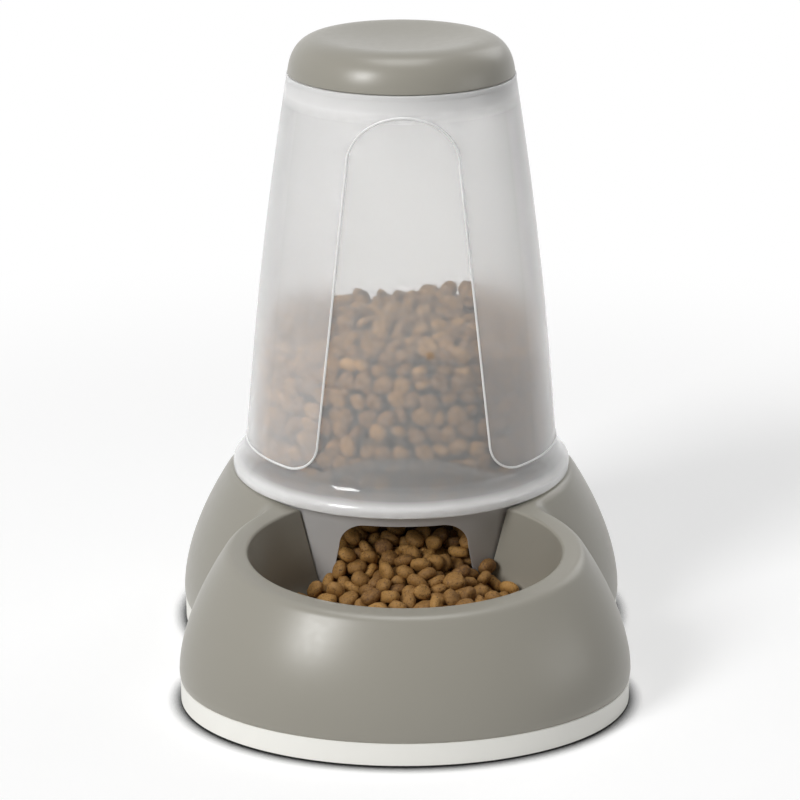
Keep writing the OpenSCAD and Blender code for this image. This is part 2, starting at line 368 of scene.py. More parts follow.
def gridLoops(rows):  # one closed loop of points per row, joined into a surface
    spokes, last = len(rows[0]), len(rows) - 1
    mesh = bmesh.new()
    bmesh.ops.create_grid(mesh, x_segments=spokes, y_segments=last, size=0.5)
    for vert in mesh.verts:
        spoke = round((vert.co.x + 0.5) * spokes) % spokes
        vert.co = rows[round((vert.co.y + 0.5) * last)][spoke]
    return weldFaces(mesh)


def roundCorner(before, corner, after, radius, count):  # a curve in place of an outline's corner
    a, b, c = Vector(before), Vector(corner), Vector(after)
    start = b + (a - b).normalized() * min(radius, (a - b).length / 2)
    end = b + (c - b).normalized() * min(radius, (c - b).length / 2)
    return [tuple(bezier(start, b, end, k / count)) for k in range(count + 1)]


# Base: two lobes, a deck, and the well cut into it
baseShell = {
    "spokes": 288,
    "seatR": 0.0884,          # outer edge of the seat under the collar
    "footR": baseHigh.x,      # foot of the round lobe
    "rimHalfW": 0.0863, "rimHalfL": 0.0710, "rimCentre": -0.1093,
    "footHalfW": 0.110, "footHalfL": 0.085, "footCentre": -0.1135,
    "bowlHalfW": 0.076, "bowlHalfL": 0.0607,
    "socketTopR": 0.0827, "socketFootR": 0.0748,
    "seatZ": baseHigh.z, "footZ": baseLow.z, "floorZ": 0.032,
    "tilt": math.tan(math.radians(5.7)), "hinge": 0.045,
    "bulge": 1.73, "blend": 0.016, "tuck": 0.0008, "tuckH": 0.0045,
    "flankTop": 0.945, "flankEase": 0.9, "deckBend": 0.002, "footEdge": 0.0003,
    "edge": 0.0034, "innerEdge": 0.0016, "draft": math.tan(math.radians(5.0)), "fillet": 0.012,
    "wall": 0.0026, "flange": 0.0096,
}
baseSteps = {"tuck": 5, "flank": 20, "edge": 7, "rim": 5, "well": 8, "fillet": 7, "floor": 5, "halvings": 40}
hubY = baseShell["rimCentre"] / 2


def deckZ(y):  # level at the seat, then falling towards the front
    fall = baseShell["seatZ"] + baseShell["tilt"] * (y + baseShell["hinge"])
    return -blendMax(-baseShell["seatZ"], -fall, baseShell["deckBend"])


def roundReach(ux, uy, r):  # from the hub to a circle about the hopper's axis
    along = hubY * uy
    return -along + math.sqrt(along * along - hubY * hubY + r * r)


def ovalReach(ux, uy, a, b, centre):  # from the hub to an oval about the bowl's centre
    cy = (hubY - centre) / b
    vx, vy = ux / a, uy / b
    dot, square = cy * vy, vx * vx + vy * vy
    inside = dot * dot - square * (cy * cy - 1)
    return (-dot + math.sqrt(inside)) / square if inside > 0 else 0


def lobeRing(angles, t, inset):  # the outline of both lobes, from the deck (t = 0) to the foot (t = 1)
    b = baseShell
    ring = []
    for angle in angles:
        ux, uy = math.sin(angle), -math.cos(angle)
        first = roundReach(ux, uy, mix(b["seatR"], b["footR"], t))
        second = ovalReach(ux, uy, mix(b["rimHalfW"], b["footHalfW"], t), mix(b["rimHalfL"], b["footHalfL"], t),
                           mix(b["rimCentre"], b["footCentre"], t))
        reach = blendMax(first, second, b["blend"]) - inset
        ring.append(Vector((ux * reach, hubY + uy * reach, 0)))
    return ring


def cornerAngle(socketR, halfW, halfL):  # from the front, where the socket's circle meets the bowl's oval
    low, high = 0.0, math.pi
    for _ in range(baseSteps["halvings"]):
        angle = (low + high) / 2
        ux, uy = math.sin(angle), -math.cos(angle)
        if ovalReach(ux, uy, halfW, halfL, baseShell["rimCentre"]) > roundReach(ux, uy, socketR):
            low = angle
        else:
            high = angle
    return (low + high) / 2


def spokeAngles(corner):  # a third of the spokes lie in front, and one falls on the corner on each side
    n = baseShell["spokes"]
    half = n // 6
    angles = [corner * k / half for k in range(half + 1)]
    rest = n // 2 - half
    angles += [corner + (math.pi - corner) * k / rest for k in range(1, rest + 1)]
    return angles + [-a for a in reversed(angles[1:-1])]


def wellRing(grow, level):  # the well's outline at a level, let out by a width
    b = baseShell
    depth = b["seatZ"] - level
    socketR = mix(b["socketTopR"], b["socketFootR"], depth / (b["seatZ"] - b["floorZ"])) + grow
    halfW = b["bowlHalfW"] - b["draft"] * depth + grow
    halfL = b["bowlHalfL"] - b["draft"] * depth + grow
    ring = []
    for angle in spokeAngles(cornerAngle(socketR, halfW, halfL)):
        ux, uy = math.sin(angle), -math.cos(angle)
        reach = max(roundReach(ux, uy, socketR), ovalReach(ux, uy, halfW, halfL, b["rimCentre"]))
        ring.append(Vector((ux * reach, hubY + uy * reach, level)))
    return ring


def makeBase():
    b, n = baseShell, baseSteps
    angles = spokeAngles(cornerAngle(b["socketTopR"], b["bowlHalfW"], b["bowlHalfL"]))
    edge = lobeRing(angles, 0, 0)
    rows = []

    def flat(inset, z):
        rows.append([Vector((p.x, p.y, z)) for p in lobeRing(angles, 1, inset)])

    def flank(h):
        plan = lobeRing(angles, 1 - h ** b["bulge"], 0)
        return [Vector((p.x, p.y, mix(b["footZ"] + b["tuckH"], deckZ(q.y), h))) for p, q in zip(plan, edge)]

    def onDeck(ring, drop=0.0):
        return [Vector((p.x, p.y, deckZ(p.y) - drop)) for p in ring]

    def curve(start, middle, end, steps, first=1):
        for k in range(first, steps + 1):
            rows.append([bezier(p, q, r, k / steps) for p, q, r in zip(start, middle, end)])

    flat(b["flange"], b["footZ"])
    flat(b["tuck"] + b["footEdge"], b["footZ"])
    for k in range(n["tuck"]):
        t = 1 - k / n["tuck"]
        flat(b["tuck"] * t * t, b["footZ"] + b["footEdge"] * (k == 0) + b["tuckH"] * (1 - t))
    for k in range(n["flank"]):
        rows.append(flank(b["flankTop"] * (k / (n["flank"] - 1)) ** b["flankEase"]))
    lower, inner = rows[-1], onDeck(lobeRing(angles, 0, b["edge"]))
    curve(lower, onDeck(edge), inner, n["edge"])
    rim = onDeck(wellRing(b["innerEdge"], b["seatZ"]))
    rows.append(onDeck([p.lerp(q, 0.5) for p, q in zip(inner, rim)]))
    mouth = wellRing(0, b["seatZ"])
    below = onDeck(mouth, b["innerEdge"])
    curve(rim, onDeck(mouth), below, n["rim"], 0)
    foot = wellRing(0, b["floorZ"] + b["fillet"])
    for k in range(1, n["well"] + 1):
        rows.append([p.lerp(q, k / n["well"]) for p, q in zip(below, foot)])
    corner, floorRing = wellRing(0, b["floorZ"]), wellRing(-b["fillet"], b["floorZ"])
    curve(foot, corner, floorRing, n["fillet"])
    for k in range(1, n["floor"] + 1):
        t = k / (n["floor"] + 0.01)  # stops just short of the hub, and the hole left is filled
        rows.append([Vector((p.x * (1 - t), mix(p.y, hubY, t), b["floorZ"])) for p in floorRing])
    mesh = gridLoops(rows)
    hole = [e for e in mesh.edges if e.is_boundary and abs(e.verts[0].co.z - b["floorZ"]) < weldDist]
    bmesh.ops.holes_fill(mesh, edges=hole)
    bmesh.ops.recalc_face_normals(mesh, faces=mesh.faces)
    piece = finishPiece("base_shell", moveToAxis(mesh), "base", ["base"], materials["base"])
    shell = piece.modifiers.new("wall", "SOLIDIFY")
    shell.thickness = b["wall"]
    shell.offset = -1  # the wall grows inwards


makeBase()
print("base made")

ringShape = {"inset": 0.0006, "width": 0.009, "footH": 0.0008, "footInset": 0.002, "edge": 0.0006,
             "innerEdge": 0.0004, "footEdge": 0.0002, "topEdge": 0.0003, "topEdgeH": 0.0004, "edgeSteps": 4,
             "corner": 1.2}


def makeRing():
    r = ringShape
    angles = spokeAngles(r["corner"])
    outer = r["inset"]
    inner, foot = outer + r["width"], outer + r["footInset"]

    def loop(inset, z):
        return [Vector((p.x, p.y, z)) for p in lobeRing(angles, 1, inset)]

    rows = [loop(inner, r["innerEdge"]), loop(inner - r["innerEdge"], 0), loop(foot + r["footEdge"], 0),
            loop(foot, r["footEdge"]), loop(foot, r["footH"])]
    for k in range(r["edgeSteps"] + 1):
        turn = quarterTurn(k, r["edgeSteps"])
        rows.append(loop(outer + r["edge"] * (1 - math.sin(turn)), r["footH"] + r["edge"] * (1 - math.cos(turn))))
    rows += [loop(outer, ringTop - r["topEdgeH"]), loop(outer + r["topEdge"], ringTop), loop(inner, ringTop), rows[0]]
    mesh = moveToAxis(gridLoops(rows))
    finishPiece("foot_ring", mesh, "base", ["non_slip_ring"], materials["ring"])


makeRing()
print("ring made")

# Lid: a domed cap with a dished top and a plug ring
lidShape = {"crestR": 0.039, "dish": 0.003, "dishCurve": 1.3, "wall": 0.0022, "lean": 0.0022, "shoulder": 2.5,
            "rest": hopperHigh.z + 0.0003, "edgeR": (lidHigh.x - lidLow.x) / 2,
            "brimEdge": 0.0006, "brimStep": 0.0001, "brimH": 0.0003,
            "plugGap": 0.0004, "plugRootH": 0.002, "plugEdge": 0.0005, "plugEdgeH": 0.0006,
            "insideR": 0.8, "insideDish": 0.3,
            "domeSteps": 40, "dishSteps": 16, "innerSteps": 15, "innerStop": 4, "spokes": 192}
hopperShape = {"topR": 0.0569, "sideR": 0.0798, "bow": 0.0022, "wall": 0.002, "lipH": 0.0026, "lipOut": 0.0004,
               "collarR": (hopperHigh.x - hopperLow.x) / 2, "collarLipH": 0.0045, "collarH": 0.0125,
               "low": hopperLow.z, "top": hopperHigh.z, "sideSteps": 24, "spokes": 256}
hopperEdges = {  # radius and steps
    "collarFoot": (0.0006, 3), "collarLip": (0.0012, 4), "collarRoot": (0.0022, 5), "insideRoot": (0.003, 5),
    "underLip": (0.0003, 2), "lip": (0.0007, 3), "insideLip": (0.0005, 3),
}


def lidSide(t):
    s = lidShape
    bow = s["edgeR"] - s["lean"] - s["crestR"]
    n = s["shoulder"]
    return s["edgeR"] - s["lean"] * t - bow * (1 - (1 - t ** n) ** (1 / n))


def makeLid():
    s = lidShape
    low, height = s["rest"], lidHigh.z - s["rest"]
    plugOut = hopperShape["topR"] - hopperShape["wall"] - s["plugGap"]
    plugIn = plugOut - s["wall"]
    brim = s["edgeR"]
    points = [(plugOut, low), (brim - s["brimEdge"], low), (brim - s["brimStep"], low + s["brimH"])]
    for k in range(1, s["domeSteps"] + 1):
        t = math.sin(quarterTurn(k, s["domeSteps"]))
        points.append((lidSide(t), low + height * t))
    for k in range(1, s["dishSteps"] + 1):
        t = 1 - k / s["dishSteps"]
        sunk = s["dish"] * (1 - t * t) ** s["dishCurve"]
        points.append((max(s["crestR"] * t, onAxis), low + height - sunk))
    inside = low + height - s["wall"]
    points += [(onAxis, inside - s["dish"]), (s["crestR"] * s["insideR"], inside - s["dish"] * s["insideDish"])]
    for k in range(s["innerSteps"], s["innerStop"], -1):
        t = math.sin(quarterTurn(k, s["innerSteps"]))
        r = lidSide(t) - s["wall"]
        if r < plugIn:
            points.append((r, low + (height - s["wall"]) * t))
    foot, edge, edgeZ = lidLow.z, s["plugEdge"], lidLow.z + s["plugEdgeH"]
    points += [(plugIn, low + s["plugRootH"]), (plugIn, edgeZ), (plugIn + edge, foot),
               (plugOut - edge, foot), (plugOut, edgeZ)]
    mesh = moveToAxis(spinProfile(points, s["spokes"]))
    finishPiece("lid_cap", mesh, "lid", ["lid"], materials["lid"])


makeLid()
print("lid made")

# Hopper: a tapered shell with a flared collar, a top lip and the bead around its clear zone

def hopperR(z):  # the outer radius of its side, which bows out a little
    s = hopperShape
    sideZ = s["low"] + s["collarH"]
    t = (z - sideZ) / (s["top"] - sideZ)
    return mix(s["sideR"], s["topR"], t) + 4 * s["bow"] * t * (1 - t)


def makeHopper():
    s, e = hopperShape, hopperEdges
    low, top, wall, steps = s["low"], s["top"], s["wall"], s["sideSteps"]
    sideZ, lipZ = low + s["collarH"], top - s["lipH"]
    collarR, lipR = s["collarR"], s["topR"] + s["lipOut"]

    def sideUpTo(height, inset):
        levels = [mix(sideZ, height, k / steps) for k in range(steps + 1)]
        return [(hopperR(z) - inset, z) for z in levels]

    outer, inner = sideUpTo(lipZ, 0), sideUpTo(top, wall)
    foot, lip = (collarR, low), (collarR, low + s["collarLipH"])
    insideLip = (collarR - wall, lip[1] - wall / 2)
    points = [(collarR - wall, low)]
    points += roundCorner(points[0], foot, lip, *e["collarFoot"])
    points += roundCorner(foot, lip, outer[0], *e["collarLip"])
    points += roundCorner(lip, outer[0], outer[1], *e["collarRoot"])
    points += outer[1:]
    points += roundCorner(outer[-2], (lipR, lipZ), (lipR, top), *e["underLip"])
    points += roundCorner((lipR, lipZ), (lipR, top), (lipR - wall, top), *e["lip"])
    points += roundCorner((lipR, top), inner[-1], inner[-2], *e["insideLip"])
    points += reversed(inner[1:-1])
    points += roundCorner(inner[1], (inner[0][0], sideZ - wall / 2), insideLip, *e["insideRoot"])
    points += [insideLip]
    mesh = moveToAxis(spinProfile(points, s["spokes"]))
    finishPiece("hopper_shell", mesh, "hopper", ["hopper"], materials["hopper"])


def onHopper(x, z, out):  # a point at a distance out from the hopper's front
    r = hopperR(z)
    across = math.asin(x / r)
    return Vector(((r + out) * math.sin(across), -(r + out) * math.cos(across), z))


def windowEdge():  # right half, from the crown down the side and out into the band
    w = window
    path = []
    for k in range(w["crownSteps"]):
        turn = quarterTurn(k, w["crownSteps"])
        path.append((w["halfW"] * math.sin(turn), w["archFoot"] + w["archRise"] * math.cos(turn)))
    foot = w["bandTop"] + w["corner"]
    for k in range(w["sideSteps"]):
        z = mix(w["archFoot"], foot, k / w["sideSteps"])
        path.append((w["halfW"] + w["spread"] * (w["archFoot"] - z), z))
    for k in range(w["cornerSteps"] + 1):
        turn = quarterTurn(k, w["cornerSteps"])
        z = w["bandTop"] + w["corner"] * (1 - math.sin(turn))
        path.append((w["halfW"] + w["spread"] * (w["archFoot"] - z) + w["corner"] * (1 - math.cos(turn)), z))
    return path


def makeBead():
    w = window
    right = [onHopper(x, z, -w["beadSink"]) for x, z in windowEdge()]
    z = w["bandTop"]
    r = hopperR(z) - w["beadSink"]
    start = math.atan2(right[-1].x, -right[-1].y)
    for k in range(1, w["backSteps"] + 1):
        turn = mix(start, math.pi, k / w["backSteps"])
        right.append(Vector((r * math.sin(turn), -r * math.cos(turn), z)))
    path = right + [Vector((-p.x, p.y, p.z)) for p in reversed(right[1:-1])]
    rows = []
    for k in range(w["beadSides"]):
        turn = math.tau * k / w["beadSides"]
        row = []
        for i, p in enumerate(path):
            along = (path[(i + 1) % len(path)] - path[i - 1]).normalized()
            out = Vector((p.x, p.y, 0)).normalized()
            out = (out - along * out.dot(along)).normalized()
            row.append(p + (out * math.cos(turn) + along.cross(out) * math.sin(turn)) * w["beadR"])
        rows.append(row)
    rows.append(rows[0])
    mesh = moveToAxis(gridLoops(rows))
    finishPiece("window_bead", mesh, "hopper", [], materials["bead"], w["beadSharp"])


makeHopper()
makeBead()
print("hopper made")

# Feed chute: a funnel inside the collar with an arched mouth at the front
chuteShape = {"footR": 0.0740, "topR": 0.0819, "wall": 0.0018, "rimH": 0.0025, "spigotH": 0.002,
              "tongueH": 0.0135, "tongueW": 0.088, "tongueSteps": 40, "gap": 0.0003, "footEdge": 0.0003,
              "mouthW": 0.064, "mouthCorner": 0.013, "mouthDrop": 0.006, "mouthBelow": 0.004, "mouthSteps": 12,
              "mouthSpread": math.tan(math.radians(10)), "edge": 0.0004, "edgeSteps": 2, "edgeAngle": 50.0,
              "sharpAngle": 25.0, "spokes": 192}
cutReach = {"far": 0.1, "above": 0.01, "mouthBack": -0.03, "backFrom": -0.0005}  # past what each cut goes through


def mouthOutline():
    s = chuteShape
    top = hopperShape["low"] - s["mouthDrop"]
    half, r = s["mouthW"] / 2, s["mouthCorner"]
    foot = baseShell["floorZ"] - s["mouthBelow"]
    outline = [(half + s["mouthSpread"] * (top - r - foot), foot)]
    for k in range(s["mouthSteps"] + 1):
        turn = quarterTurn(k, s["mouthSteps"])
        outline.append((half - r + r * math.cos(turn), top - r + r * math.sin(turn)))
    return outline + [(-x, z) for x, z in reversed(outline)]


def prism(outline, near, far):
    mesh = bmesh.new()
    face = mesh.faces.new([mesh.verts.new((x, near, z)) for x, z in outline])
    grown = bmesh.ops.extrude_face_region(mesh, geom=[face])
    bmesh.ops.translate(mesh, verts=[v for v in grown["geom"] if isinstance(v, bmesh.types.BMVert)],
                        vec=(0, far - near, 0))
    bmesh.ops.recalc_face_normals(mesh, faces=mesh.faces)
    return mesh


def cutAway(mesh, cutters):
    target = addObject("cut_target", meshData("cut_target", mesh))
    tools = []
    for cutter in cutters:
        tool = addObject("cut_tool", meshData("cut_tool", cutter))
        step = target.modifiers.new("cut", "BOOLEAN")
        step.operation, step.solver, step.object = "DIFFERENCE", "EXACT", tool
        tools.append(tool)
    result = bmesh.new()
    result.from_object(target, bpy.context.evaluated_depsgraph_get())
    for gone in [target] + tools:
        data = gone.data
        bpy.data.objects.remove(gone)
        bpy.data.meshes.remove(data)
    return result


def makeChute():
    s, c = chuteShape, cutReach
    low, rest, wall = chuteFoot, hopperShape["low"], s["wall"]
    land = hopperShape["collarR"] - hopperShape["wall"]
    sideZ = rest + hopperShape["collarH"]
    spigotZ = sideZ + s["spigotH"]
    tongueZ = spigotZ + s["tongueH"]
    spigotR = hopperR(tongueZ) - hopperShape["wall"] - s["gap"]
    points = [(s["footR"] - wall, low), (s["footR"] - s["footEdge"], low), (s["footR"], low + s["footEdge"]),
              (s["topR"], rest), (land, rest), (land, rest + s["rimH"]),
              (spigotR, sideZ), (spigotR, tongueZ), (spigotR - wall, tongueZ), (spigotR - wall, sideZ),
              (s["topR"] - wall, rest + wall / 2)]
    body = spinProfile(points, s["spokes"])
    far, above, half = c["far"], tongueZ + c["above"], s["tongueW"] / 2
    tongueR = (half ** 2 + s["tongueH"] ** 2) / (2 * s["tongueH"])
    arch = [(far, above), (-far, above), (-far, spigotZ)]
    for k in range(s["tongueSteps"] + 1):
        x = mix(-half, half, k / s["tongueSteps"])
        arch.append((x, tongueZ - tongueR + math.sqrt(tongueR * tongueR - x * x)))
    arch.append((far, spigotZ))
    back = [(-far, spigotZ), (far, spigotZ), (far, above), (-far, above)]
    mesh = cutAway(body, [prism(arch, 0.0, -far), prism(back, far, c["backFrom"]),
                          prism(mouthOutline(), c["mouthBack"], -far)])
    mesh = moveToAxis(weldFaces(mesh, 2 * weldDist))
    piece = finishPiece("chute_shell", mesh, "hopper", ["feed_chute"], materials["chute"],
                        s["sharpAngle"])
    soft = piece.modifiers.new("edges", "BEVEL")
    soft.width, soft.segments = s["edge"], s["edgeSteps"]
    soft.limit_method, soft.angle_limit = "ANGLE", math.radians(s["edgeAngle"])


makeChute()
print("chute made")

# Dry food: small baked discs, the contents of the hopper and the bowl
kibbleShape = {"radius": 0.0054, "half": 0.0026, "spokes": 10, "variants": 16, "seed": 41,
               "toneSpread": 0.24, "sharpAngle": 80.0,
               "profile": [(0.0, 0.96), (0.60, 1.0), (0.92, 0.62), (1.0, 0.0),
                           (0.93, -0.62), (0.6, -1.0), (0.0, -0.95)]}
kibbleVaries = {"bend": 0.10, "lobes": (2, 3, 3), "lobeW": (0.02, 0.10), "dimple": 0.35, "dimpleR": 0.5,
                "rough": 0.035, "roughZ": 0.08, "size": (0.86, 1.04),
                "long": (0.96, 1.10), "narrow": (0.78, 0.98), "thick": (0.90, 1.15)}
foodShape = {"fill": 0.1585, "foot": 0.0385, "wallLayers": 3, "layerDepth": 0.0078, "rowStep": 0.0086,
             "alongStep": 0.0096, "clearance": 0.0004, "inwards": 0.004, "footGap": 0.0045, "topGap": 0.003,
             "seed": 7, "coreOverlap": 0.004, "coreDrop": 0.012, "coreSteps": 8, "coreSpokes": 64}
wallVaries = {"along": 0.22, "level": 0.0016, "inwards": 0.001, "tilt": 1.45, "flatTilt": 0.45, "tilted": 0.35}
topShape = {"layers": 3, "depth": 0.0035, "layerStep": 0.0065, "wallGap": 0.005, "ringStep": 0.0088,
            "alongStep": 0.0094, "heap": 0.004, "heaps": 3, "heapTurn": 1.0}
topVaries = {"along": 0.25, "out": 0.0015, "level": 0.0022, "tilt": 1.2}
mouthZone = {"backY": -0.040, "halfW": 0.042, "above": 0.012, "below": 0.001, "apart": 0.0072}
# mean tone of each group of food, about which each piece's tone varies at random; the hopper's food is set darker
# than the poured food as painted shade
foodToneAndShade = {"poured": 0.5, "wall": 0.10, "behind": 0.28, "top": 0.22}


def spread(rng, most):
    return rng.uniform(-most, most)


def kibbleVariant(rng):
    s, v = kibbleShape, kibbleVaries
    mesh = spinProfile([(r * s["radius"], z * s["half"]) for r, z in s["profile"]], s["spokes"], closed=False)
    bend, shift = spread(rng, v["bend"]), rng.uniform(0, math.tau)
    lobes, wide = rng.choice(v["lobes"]), rng.uniform(*v["lobeW"])
    dimple = rng.uniform(0.0, v["dimple"])
    for vert in mesh.verts:
        turn, r = math.atan2(vert.co.y, vert.co.x), vert.co.xy.length / s["radius"]
        vert.co.xy *= 1 + wide * math.cos(lobes * turn + shift) + spread(rng, v["rough"])
        sunk = dimple * max(v["dimpleR"] - r, 0) * (vert.co.z > 0)
        vert.co.z *= 1 + spread(rng, v["roughZ"]) - sunk
        vert.co.z += bend * s["radius"] * (r * math.cos(turn + shift)) ** 2
    size = rng.uniform(*v["size"])
    stretch = [size * rng.uniform(*v[way]) for way in ("long", "narrow", "thick")]
    bmesh.ops.scale(mesh, verts=mesh.verts, vec=stretch)
    data = meshData("kibble_variant", mesh)
    data.attributes.new("tone", "FLOAT", "POINT")
    return data


kibbleRng = random.Random(kibbleShape["seed"])
kibbleForms = [kibbleVariant(kibbleRng) for _ in range(kibbleShape["variants"])]


def turnTo(normal, rng, tilt):  # a disc that lies against a surface, within a tilt
    side = Vector((spread(rng, 1), spread(rng, 1), spread(rng, 1))).cross(normal).normalized()
    return (Quaternion(side, rng.uniform(0, tilt)) @ normal.to_track_quat("Z", "Y") @
            Quaternion((0, 0, 1), rng.uniform(0, math.tau)))


def anyTurn(rng):
    axis = Vector((rng.gauss(0, 1), rng.gauss(0, 1), rng.gauss(0, 1))).normalized()
    return Quaternion(axis, rng.uniform(0, math.tau))


def reachAlong(turn, normal):  # half of a disc's thickness along a direction
    flat = abs((turn @ Vector((0, 0, 1))).dot(normal))
    return kibbleShape["half"] * flat + kibbleShape["radius"] * math.sqrt(max(1 - flat * flat, 0))


def makeKibble(name, places, body, tone, look="kibble"):
    s = kibbleShape
    rng = random.Random(len(places))
    mesh = bmesh.new()
    for place, turn in places:
        form = rng.choice(kibbleForms)
        move = Matrix.Translation(place) @ turn.to_matrix().to_4x4()
        shade = min(max(rng.gauss(tone, s["toneSpread"]), 0), 1)
        form.attributes["tone"].data.foreach_set("value", [shade] * len(form.vertices))
        form.transform(move)
        mesh.from_mesh(form)
        form.transform(move.inverted())
    finishPiece(name, mesh, body, [], materials[look], s["sharpAngle"])


def insideR(z):  # inner radius of the hopper, or of the chute below it
    s, c = hopperShape, chuteShape
    spigotTop = s["low"] + s["collarH"] + c["spigotH"]
    if z > spigotTop + c["tongueH"]:
        return hopperR(z) - s["wall"]
    if z > spigotTop:
        return hopperR(z) - s["wall"] - c["gap"] - c["wall"]
    if z > s["low"]:
        t = (z - s["low"]) / (spigotTop - s["low"])
        return mix(c["topR"], hopperR(spigotTop) - s["wall"] - c["gap"], t) - c["wall"]
    return mix(c["footR"], c["topR"], (z - chuteFoot) / (s["low"] - chuteFoot)) - c["wall"]


def wallFood(rng, layers, poured):
    f, v = foodShape, wallVaries
    places = []
    rows = int((f["fill"] - f["foot"]) / f["rowStep"])
    for layer in layers:
        for row in range(rows):
            z = f["foot"] + f["footGap"] + (row + (layer % 2) / 2) * f["rowStep"]
            r = insideR(z) - layer * f["layerDepth"]
            count = int(math.tau * r / f["alongStep"])
            for k in range(count):
                angle = math.tau * (k + (row % 2) / 2 + spread(rng, v["along"])) / count
                out = Vector((math.sin(angle), -math.cos(angle), 0))
                level = z + spread(rng, v["level"])
                tilt = v["tilt"] if layer or rng.random() < v["tilted"] else v["flatTilt"]
                turn = turnTo(out, rng, tilt)
                if layer:
                    inwards = f["inwards"] + spread(rng, v["inwards"])
                else:
                    inwards = reachAlong(turn, out)
                r2 = insideR(level) - layer * f["layerDepth"] - (f["clearance"] + inwards)
                place = Vector((out.x * r2, out.y * r2 + axisY, level))
                if level + f["topGap"] <= f["fill"] and not inMouth(place, poured):
                    places.append((place, turn))
    return places


def inMouth(place, poured):  # the space that the poured pile takes up inside the chute
    m, low = mouthZone, hopperShape["low"]
    if place.y - axisY > m["backY"] or abs(place.x) > m["halfW"] or place.z > low + m["above"]:
        return False
    return place.z < low - m["below"] or any((place - other).length < m["apart"] for other, _ in poured)


def topFood(rng):
    s, v = topShape, topVaries
    places = []
    fill = foodShape["fill"]
    rMax = insideR(fill) - s["wallGap"]
    rings = int(rMax / s["ringStep"])
    for layer in range(s["layers"]):
        level = fill - s["depth"] - layer * s["layerStep"]
        for ring in range(rings + 1):
            r = rMax * ring / rings
            count = max(1, int(math.tau * r / s["alongStep"]))
            for k in range(count):
                angle = math.tau * (k + spread(rng, v["along"])) / count + ring + layer
                r2 = min(r + spread(rng, v["out"]), rMax)
                heap = s["heap"] * math.sin(s["heaps"] * angle + s["heapTurn"]) * (r2 / rMax)
                heap += spread(rng, v["level"])
                turn = turnTo(Vector((0, 0, 1)), rng, v["tilt"])
                places.append((Vector((r2 * math.sin(angle), axisY - r2 * math.cos(angle), level + heap)), turn))
    return places


def makeCore():  # the unseen middle of the fill, cut off where the poured pile starts, in the food colour darkened as painted shade
    f = foodShape
    foot, top, steps = f["foot"], f["fill"] - f["coreDrop"], f["coreSteps"]
    depth = f["wallLayers"] * f["layerDepth"] - f["coreOverlap"]
    levels = [foot] + [mix(foot, top, k / steps) for k in range(1, steps + 1)]
    points = [(onAxis, foot)] + [(insideR(z) - depth, z) for z in levels] + [(onAxis, top)]
    mesh = spinProfile(points, f["coreSpokes"])
    front = bmesh.ops.bisect_plane(mesh, geom=mesh.verts[:] + mesh.edges[:] + mesh.faces[:], dist=weldDist,
                                   plane_co=(0, pileShape["backY"], 0), plane_no=(0, -1, 0), clear_outer=True)
    bmesh.ops.holes_fill(mesh, edges=[e for e in front["geom_cut"] if isinstance(e, bmesh.types.BMEdge)])
    bmesh.ops.recalc_face_normals(mesh, faces=mesh.faces)
    finishPiece("kibble_core", moveToAxis(mesh), "hopper", [], materials["core"])


pileShape = {"mouthY": -0.076, "halfW": 0.007, "top": 0.077, "slope": 0.80, "shiftX": 0.002,
             "backY": -0.043, "backTop": 0.096}
pileStart = {"step": 0.0102, "loose": 1.62, "across": 7, "along": 13, "backGap": 0.0065, "rise": 0.006,
             "mouthGap": 0.004, "halfW": 0.040, "frontR": 0.066, "frontHalfW": 0.034, "bowlGap": 0.010,
             "shift": 0.001, "shiftZ": 0.0008, "seed": 23}
settling = {"scale": 20.0, "frames": 90, "substeps": 8, "iterations": 12, "margin": 0.002, "solidWeld": 1e-5,
            "solidFriction": 0.9, "friction": 1.0, "slowing": 0.15, "spinSlowing": 0.6, "mass": 0.1,
            "backSize": (0.18, 0.02, 0.30), "backZ": 0.18, "spokes": 8, "size": (0.97, 0.93, 0.98),
            "profile": [(1e-6, 0.95), (0.7, 0.9), (1.0, 0.0), (0.7, -0.9), (1e-6, -0.95)]}
pileKept = {"below": 0.002, "above": 0.004, "wallGap": 0.001, "hopperGap": 0.008}


def pileTop(x, y):
    p = pileShape
    away = math.hypot(max(abs(x - p["shiftX"]) - p["halfW"], 0), max(p["mouthY"] - y, 0))
    return p["top"] - p["slope"] * away


def pileStarts():  # a loose lattice over the pile's own outline, to be settled
    p, s, b = pileShape, pileStart, baseShell
    rng = random.Random(s["seed"])
    starts = []
    step, gap = s["step"], s["bowlGap"]
    for i in range(-s["across"], s["across"] + 1):
        for j in range(s["along"]):
            x, y = i * step, p["backY"] - s["backGap"] - j * step
            if y > p["mouthY"] + s["mouthGap"]:
                if abs(x) > s["halfW"] or math.hypot(x, y) > s["frontR"] and abs(x) > s["frontHalfW"]:
                    continue
                level = p["backTop"]
            else:
                if (x / (b["bowlHalfW"] - gap)) ** 2 + ((y - b["rimCentre"]) / (b["bowlHalfL"] - gap)) ** 2 > 1:
                    continue
                level = pileTop(x, y)
            layers = int(round((level - b["floorZ"]) * s["loose"] / step))
            for k in range(layers):
                z = b["floorZ"] + s["rise"] + k * step
                place = (x + spread(rng, s["shift"]), y + spread(rng, s["shift"]), z + spread(rng, s["shiftZ"]))
                starts.append((Vector(place), anyTurn(rng)))
    return starts


def solidFor(name, mesh):
    return bpy.data.objects.new(name, meshData(name, mesh))


